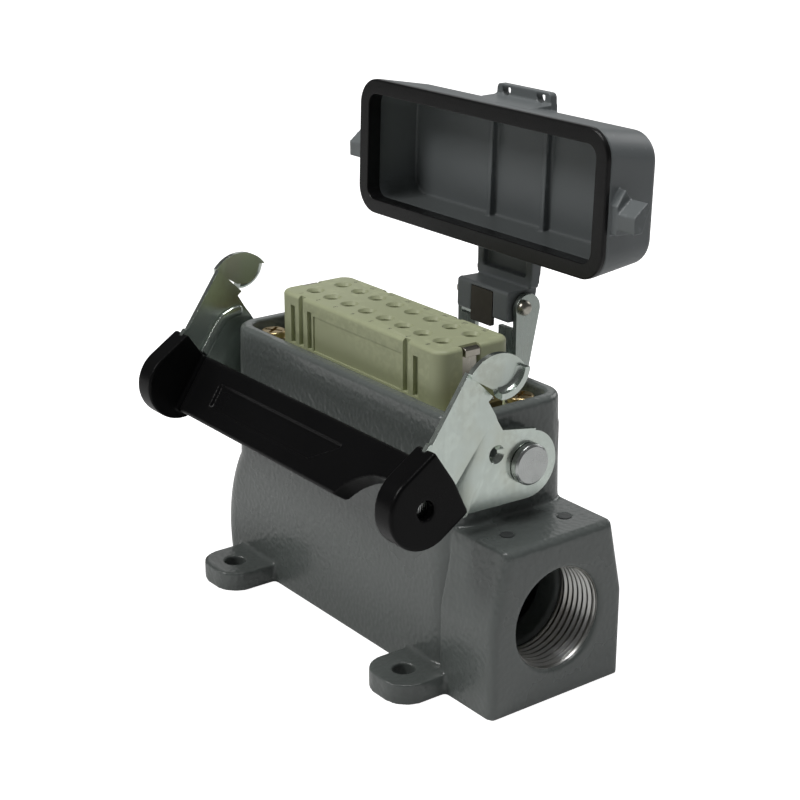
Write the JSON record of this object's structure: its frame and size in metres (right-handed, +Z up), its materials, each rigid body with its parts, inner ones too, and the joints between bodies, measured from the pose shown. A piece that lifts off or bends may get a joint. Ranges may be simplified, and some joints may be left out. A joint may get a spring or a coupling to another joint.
{
  "type": "heavy duty rectangular connector",
  "caption": "Surface-mount rectangular power connector: die-cast housing with threaded cable entry, contact insert, locking lever and hinged protective cover.",
  "frame": {"origin": "centre of the collar in plan, on the base plane", "axes": "+Z up out of the contact insert, +X towards the threaded cable entry, -Y towards the lever's handle, +Y towards the cover's hinge"},
  "size_m": [0.1028, 0.0726, 0.1098],
  "materials": {
    "casting": "grey fine hammer-finish powder coat",
    "insert_plastic": "satin beige-green moulded plastic",
    "contact_metal": "silver-plated",
    "screw_metal": "nickel-plated",
    "brass_screws": "yellow-passivated",
    "stud_steel": "turned and zinc-plated",
    "zinc_sheet": "zinc-plated pressed sheet",
    "handle_plastic": "satin black glass-filled plastic",
    "cover_plastic": "satin grey moulded plastic",
    "gasket_rubber": "smooth black rubber",
    "dark_steel": "blued spring steel"
  },
  "bodies": {
    "base": {"housing": "casting", "insert_body": "insert_plastic", "insert_rear": "insert_plastic", "contact_sleeves": "contact_metal", "terminal_screws": "screw_metal", "insert_screws": "brass_screws", "screw_washers": "screw_metal", "earth_clip_right": "screw_metal", "earth_clip_left": "screw_metal", "earth_terminals": "brass_screws", "earth_screws": "screw_metal", "pivot_stud_right": "stud_steel", "pivot_stud_left": "stud_steel", "hinge_bracket": "zinc_sheet", "bracket_rivets": "stud_steel", "hinge_pin": "screw_metal"},
    "lever": {"lever_plate_right": "zinc_sheet", "lever_plate_left": "zinc_sheet", "lever_handle": "handle_plastic", "handle_pins": "stud_steel"},
    "cover": {"cover_shell": "cover_plastic", "cover_gasket": "gasket_rubber", "stop_spring": "dark_steel"}
  },
  "joints": [
    {"name": "lever_turn", "type": "hinge", "parent": "base", "child": "lever", "pos_m": [0, 0, 0.0467], "axis": [-1, 0, 0], "range_deg": [-12, 24]},
    {"name": "cover_turn", "type": "hinge", "parent": "base", "child": "cover", "pos_m": [0, 0.0282, 0.0647], "axis": [1, 0, 0], "range_deg": [-8, 91.7]}
  ]
}
